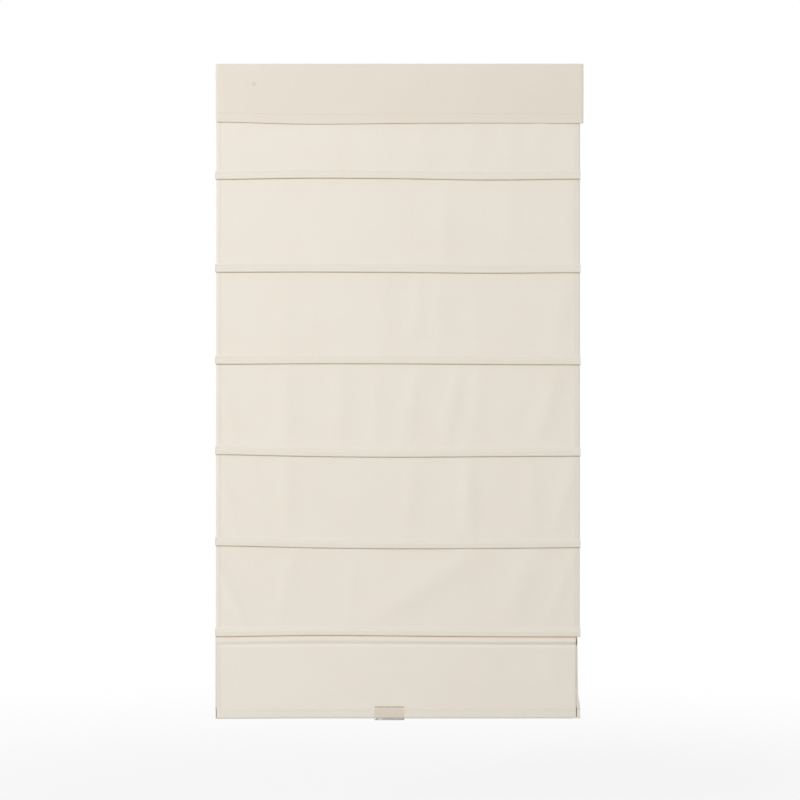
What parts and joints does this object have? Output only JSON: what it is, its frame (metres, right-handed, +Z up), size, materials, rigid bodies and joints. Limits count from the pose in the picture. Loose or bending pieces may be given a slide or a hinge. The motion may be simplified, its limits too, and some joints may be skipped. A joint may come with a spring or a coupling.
{
  "type": "roman blind",
  "caption": "Cordless flat roman blind, lowered: cream cloth with front-hanging rodded tucks, valance, head rail with geared spring lift, weighted hem and clear pull handle.",
  "frame": {"origin": "middle of the four wall holes of the two mounting brackets, on the plane of the wall", "axes": "+X along the wall to the blind's right as seen from the room, +Y into the wall, +Z up"},
  "size_m": [0.912, 0.0598, 1.6257],
  "materials": {
    "blind_cloth": "plain woven polyester twill, matt",
    "valance_cloth": "the same cloth",
    "tape": "white hook and loop tape",
    "cord": "white braided polyester cord",
    "rail_steel": "white enamel, satin",
    "bar_steel": "white enamel, satin",
    "bracket_steel": "zinc-plated",
    "spring_steel": "bare spring strip",
    "screw_steel": "zinc-plated",
    "white_plastic": "moulded, satin",
    "gear_plastic": "natural acetal",
    "batten_rod": "glass-fibre rod",
    "board_plastic": "extruded strip",
    "clear_plastic": "clear moulded polycarbonate"
  },
  "bodies": {
    "head": {"headrail": "rail_steel", "rail_end_cap_left": "white_plastic", "rail_end_cap_right": "white_plastic", "bracket_left": "bracket_steel", "bracket_right": "bracket_steel", "hook_tape": "tape", "loop_tape": "tape", "valance_clips": "clear_plastic", "valance_board": "board_plastic", "valance": "valance_cloth", "lift_unit_case": "white_plastic", "lift_unit_cover": "white_plastic", "lift_unit_screws": "screw_steel", "lift_spring": "spring_steel", "cord_guide_left": "white_plastic", "cord_guide_right": "white_plastic", "roller_pin_left": "screw_steel", "roller_pin_right": "screw_steel", "face_panel_1": "blind_cloth", "lift_cord_left": "cord", "lift_cord_right": "cord"},
    "bottom_rail": {"bottom_bar": "bar_steel", "bar_end_cap_left": "white_plastic", "bar_end_cap_right": "white_plastic", "bottom_hem": "blind_cloth", "cord_cleat_left": "white_plastic", "cord_cleat_right": "white_plastic", "bar_screws": "screw_steel", "pull_handle": "clear_plastic"},
    "fold_1": {"tuck_1": "blind_cloth", "batten_1": "batten_rod", "cord_rings_1": "white_plastic", "face_panel_2": "blind_cloth"},
    "fold_2": {"tuck_2": "blind_cloth", "batten_2": "batten_rod", "cord_rings_2": "white_plastic", "face_panel_3": "blind_cloth"},
    "fold_3": {"tuck_3": "blind_cloth", "batten_3": "batten_rod", "cord_rings_3": "white_plastic", "face_panel_4": "blind_cloth"},
    "fold_4": {"tuck_4": "blind_cloth", "batten_4": "batten_rod", "cord_rings_4": "white_plastic", "face_panel_5": "blind_cloth"},
    "fold_5": {"tuck_5": "blind_cloth", "batten_5": "batten_rod", "cord_rings_5": "white_plastic", "face_panel_6": "blind_cloth"},
    "fold_6": {"tuck_6": "blind_cloth", "batten_6": "batten_rod", "cord_rings_6": "white_plastic", "face_panel_7": "blind_cloth"},
    "cord_spool_left": {"cord_spool_left": "gear_plastic"},
    "spring_drum_output": {"spring_drum_output": "gear_plastic"},
    "spring_drum_storage": {"spring_drum_storage": "gear_plastic"},
    "cord_spool_right": {"cord_spool_right": "gear_plastic"},
    "cord_roller_left": {"cord_roller_left": "gear_plastic"},
    "cord_roller_right": {"cord_roller_right": "gear_plastic"}
  },
  "joints": [
    {"name": "lift", "type": "slide", "parent": "head", "child": "bottom_rail", "axis": [0, 0, 1], "range_m": [0, 1.4233], "deforming": ["face_panel_1", "face_panel_2", "face_panel_3", "face_panel_4", "face_panel_5", "face_panel_6", "face_panel_7", "lift_cord_left", "lift_cord_right"]},
    {"name": "fold_1_rise", "type": "slide", "parent": "head", "child": "fold_1", "axis": [0, 0, 1], "range_m": [0, 0.2274]},
    {"name": "fold_2_rise", "type": "slide", "parent": "head", "child": "fold_2", "axis": [0, 0, 1], "range_m": [0, 0.4387]},
    {"name": "fold_3_rise", "type": "slide", "parent": "head", "child": "fold_3", "axis": [0, 0, 1], "range_m": [0, 0.646]},
    {"name": "fold_4_rise", "type": "slide", "parent": "head", "child": "fold_4", "axis": [0, 0, 1], "range_m": [0, 0.8549]},
    {"name": "fold_5_rise", "type": "slide", "parent": "head", "child": "fold_5", "axis": [0, 0, 1], "range_m": [0, 1.0617]},
    {"name": "fold_6_rise", "type": "slide", "parent": "head", "child": "fold_6", "axis": [0, 0, 1], "range_m": [0, 1.2611]},
    {"name": "cord_spool_left_turn", "type": "hinge", "parent": "head", "child": "cord_spool_left", "pos_m": [-0.045, -0.024, 0], "axis": [0, 0, 1], "range_deg": [0, 7000]},
    {"name": "spring_drum_output_turn", "type": "hinge", "parent": "head", "child": "spring_drum_output", "pos_m": [-0.015, -0.024, 0], "axis": [0, 0, 1], "range_deg": [-7000, 0]},
    {"name": "spring_drum_storage_turn", "type": "hinge", "parent": "head", "child": "spring_drum_storage", "pos_m": [0.015, -0.024, 0], "axis": [0, 0, 1], "range_deg": [0, 7000]},
    {"name": "cord_spool_right_turn", "type": "hinge", "parent": "head", "child": "cord_spool_right", "pos_m": [0.045, -0.024, 0], "axis": [0, 0, 1], "range_deg": [-7000, 0]},
    {"name": "cord_roller_left_turn", "type": "hinge", "parent": "head", "child": "cord_roller_left", "pos_m": [-0.2983, -0.0403, -0.00625], "axis": [0, 1, 0], "range_deg": [0, 19500]},
    {"name": "cord_roller_right_turn", "type": "hinge", "parent": "head", "child": "cord_roller_right", "pos_m": [0.2983, -0.0403, -0.00625], "axis": [0, 1, 0], "range_deg": [-19500, 0]}
  ],
  "couplings": [
    {"joint": "fold_1_rise", "follows": "lift", "ratio": 0.15942},
    {"joint": "fold_2_rise", "follows": "lift", "ratio": 0.30788},
    {"joint": "fold_3_rise", "follows": "lift", "ratio": 0.45352},
    {"joint": "fold_4_rise", "follows": "lift", "ratio": 0.6003},
    {"joint": "fold_5_rise", "follows": "lift", "ratio": 0.74559},
    {"joint": "fold_6_rise", "follows": "lift", "ratio": 0.88569},
    {"joint": "cord_spool_left_turn", "follows": "lift", "rad_per_m": 84.746},
    {"joint": "spring_drum_output_turn", "follows": "lift", "rad_per_m": -84.746},
    {"joint": "spring_drum_storage_turn", "follows": "lift", "rad_per_m": 84.746},
    {"joint": "cord_spool_right_turn", "follows": "lift", "rad_per_m": -84.746},
    {"joint": "cord_roller_left_turn", "follows": "lift", "rad_per_m": 238.1},
    {"joint": "cord_roller_right_turn", "follows": "lift", "rad_per_m": -238.1}
  ]
}
